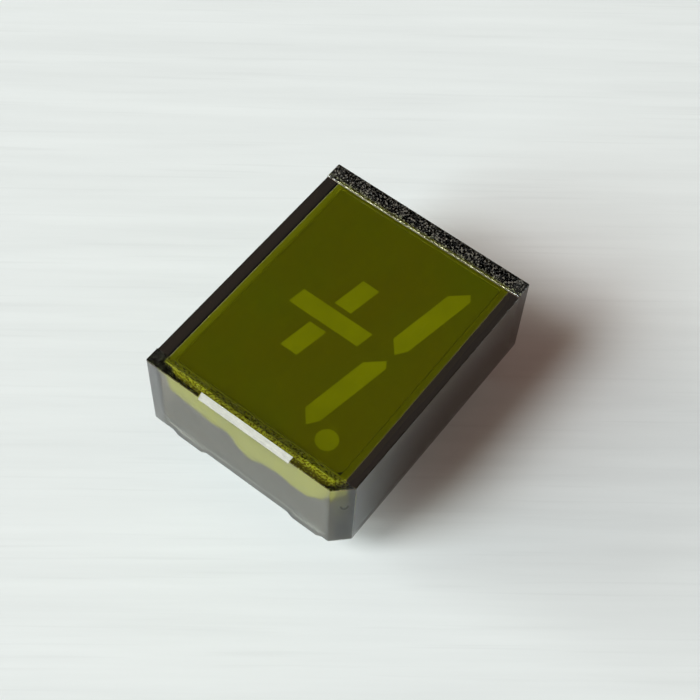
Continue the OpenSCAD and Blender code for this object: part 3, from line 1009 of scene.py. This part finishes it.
def add_lamp(name, place, share, lights=True, mirrored=True):
    """A round soft lamp aimed at the object, which gives the floor that share of white.

    A disc of radiance L that covers the half angle s, at height h, lights the
    floor with pi times L times sin(s) squared times sin(h).
    """
    azimuth, height, spread = place
    towards = Vector((
        math.cos(azimuth) * math.cos(height),
        math.sin(azimuth) * math.cos(height),
        math.sin(height),
    ))
    radius = LAMP_DISTANCE * math.tan(spread)
    data = bpy.data.lights.new(name, "AREA")
    data.shape = "DISK"
    data.size = 2 * radius
    brightest = max(share)
    data.color = [c / brightest for c in share]
    radiance = brightest / (math.sin(spread) ** 2 * math.sin(height))
    data.energy = radiance * math.pi * math.pi * radius**2
    lamp = bpy.data.objects.new(name, data)
    lamp.location = towards * LAMP_DISTANCE
    lamp.rotation_mode = "QUATERNION"
    lamp.rotation_quaternion = towards.to_track_quat("Z", "Y")
    lamp.visible_camera = False
    lamp.visible_diffuse = lights
    lamp.visible_glossy = mirrored
    lamp.visible_transmission = False
    bpy.context.scene.collection.objects.link(lamp)


def add_world(stage):
    """The room: warm even light, a dark ceiling for what mirrors it, and a pale horizon.

    The camera sees the pale surroundings everywhere.
    """
    world = bpy.data.worlds.new("room")
    world.use_nodes = True
    tree = world.node_tree
    tree.nodes.clear()

    def add(kind, **settings):
        node = tree.nodes.new("ShaderNode" + kind)
        for key, value in settings.items():
            setattr(node, key, value)
        return node

    def light(rgb):
        node = add("Background")
        node.inputs["Color"].default_value = (*rgb, 1.0)
        return node.outputs[0]

    def mixed(share, first, second):
        node = add("MixShader")
        for socket, link in zip(node.inputs, (share, first, second)):
            tree.links.new(link, socket)
        return node.outputs[0]

    split = add("SeparateXYZ")
    tree.links.new(add("TexCoord").outputs["Generated"], split.inputs[0])
    low = add("MapRange")
    tree.links.new(split.outputs[2], low.inputs["Value"])
    for name, value in (("From Min", CEILING_DOWN_TO), ("From Max", HORIZON_UP_TO)):
        low.inputs[name].default_value = value
    path = add("LightPath")
    mirrored = add("Math", operation="MAXIMUM")
    tree.links.new(path.outputs["Is Glossy Ray"], mirrored.inputs[0])
    tree.links.new(path.outputs["Is Transmission Ray"], mirrored.inputs[1])
    pale = light(stage.backdrop)
    overhead = mixed(low.outputs[0], light([stage.ceiling] * 3), pale)
    lit = mixed(mirrored.outputs[0], light(stage.room), overhead)
    seen = mixed(path.outputs["Is Camera Ray"], lit, pale)
    tree.links.new(seen, add("OutputWorld").inputs["Surface"])
    bpy.context.scene.world = world


def add_floor(stage):
    """A wide flat table top at the level of the pin tips."""
    half = FLOOR_HALF
    mesh = bpy.data.meshes.new("floor")
    corners = [(-half, -half, 0), (half, -half, 0), (half, half, 0), (-half, half, 0)]
    mesh.from_pydata(corners, [], [(0, 1, 2, 3)])
    mesh.materials.append(table_top(stage))
    floor = bpy.data.objects.new("floor", mesh)
    bpy.context.scene.collection.objects.link(floor)


# ------------------------------------------------------------------ operators


class LED_OT_cap(bpy.types.Operator):
    """Builds the smoke-tinted cap"""

    bl_idname = "led.cap"
    bl_label = "Cap"

    def execute(self, context):
        make_cap(context.scene.led_cap, context.scene.led_inside)
        return {"FINISHED"}


class LED_OT_block(bpy.types.Operator):
    """Dresses the reflector block"""

    bl_idname = "led.block"
    bl_label = "Reflector block"

    def execute(self, context):
        dress(["reflector"], block_plastic(context.scene.led_inside))
        return {"FINISHED"}


class LED_OT_resin(bpy.types.Operator):
    """Dresses the light bars and the resin round the block"""

    bl_idname = "led.resin"
    bl_label = "Resin"

    def execute(self, context):
        inside = context.scene.led_inside
        dress(LIGHT_BARS, bar_resin(inside))
        dress(["side_resin"], side_resin(inside))
        return {"FINISHED"}


class LED_OT_rear(bpy.types.Operator):
    """Dresses the carrier board and the seal behind it"""

    bl_idname = "led.rear"
    bl_label = "Board and seal"

    def execute(self, context):
        inside = context.scene.led_inside
        dress(["carrier_board"], board_laminate(inside))
        dress(["rear_seal"], seal_resin(inside))
        return {"FINISHED"}


class LED_OT_pins(bpy.types.Operator):
    """Dresses the pins"""

    bl_idname = "led.pins"
    bl_label = "Pins"

    def execute(self, context):
        dress(PINS, tinned_pin(context.scene.led_inside))
        return {"FINISHED"}


class LED_OT_chips(bpy.types.Operator):
    """Dresses the light chips and their bond wires"""

    bl_idname = "led.chips"
    bl_label = "Chips and wires"

    def execute(self, context):
        inside = context.scene.led_inside
        dress(CHIPS, chip_crystal(inside))
        dress(WIRES, bond_gold(inside))
        return {"FINISHED"}


class LED_OT_stage(bpy.types.Operator):
    """Adds the floor, the lamps, the room and the camera"""

    bl_idname = "led.stage"
    bl_label = "Stage"

    def execute(self, context):
        stage = context.scene.led_stage
        add_floor(stage)
        add_world(stage)
        add_lamp("tall_lamp_low", TALL_LOW, stage.tall_low, mirrored=False)
        add_lamp("tall_lamp_high", TALL_HIGH, stage.tall_high, mirrored=False)
        add_lamp("side_lamp", SIDE, stage.side, mirrored=False)
        add_lamp("small_lamp", SMALL, stage.small, lights=False)
        add_camera()
        context.scene.view_settings.view_transform = "Standard"
        return {"FINISHED"}


OPERATORS = (
    LED_OT_stage,
    LED_OT_cap,
    LED_OT_block,
    LED_OT_resin,
    LED_OT_rear,
    LED_OT_pins,
    LED_OT_chips,
)


class LED_PT_display(bpy.types.Panel):
    """Lists the pieces of the display"""

    bl_idname = "LED_PT_display"
    bl_label = "LED display"
    bl_space_type = "VIEW_3D"
    bl_region_type = "UI"
    bl_category = "LED display"

    def draw(self, context):
        column = self.layout.column()
        for operator in OPERATORS:
            column.operator(operator.bl_idname)
        for group in (context.scene.led_cap, context.scene.led_inside, context.scene.led_stage):
            box = self.layout.box()
            for name in group.__annotations__:
                box.prop(group, name)


CLASSES = (CapSettings, InsideSettings, StageSettings, *OPERATORS, LED_PT_display)


def register():
    """Registers the classes and hangs the settings on the scene."""
    for cls in CLASSES:
        bpy.utils.register_class(cls)
    bpy.types.Scene.led_cap = PointerProperty(type=CapSettings)
    bpy.types.Scene.led_inside = PointerProperty(type=InsideSettings)
    bpy.types.Scene.led_stage = PointerProperty(type=StageSettings)


def unregister():
    """Takes the settings and the classes away again."""
    del bpy.types.Scene.led_stage
    del bpy.types.Scene.led_inside
    del bpy.types.Scene.led_cap
    for cls in reversed(CLASSES):
        bpy.utils.unregister_class(cls)


def main():
    """Dresses the display, piece by piece."""
    register()
    bpy.ops.led.stage()
    bpy.ops.led.cap()
    bpy.ops.led.block()
    bpy.ops.led.resin()
    bpy.ops.led.rear()
    bpy.ops.led.pins()
    bpy.ops.led.chips()


if __name__ == "__main__":
    main()
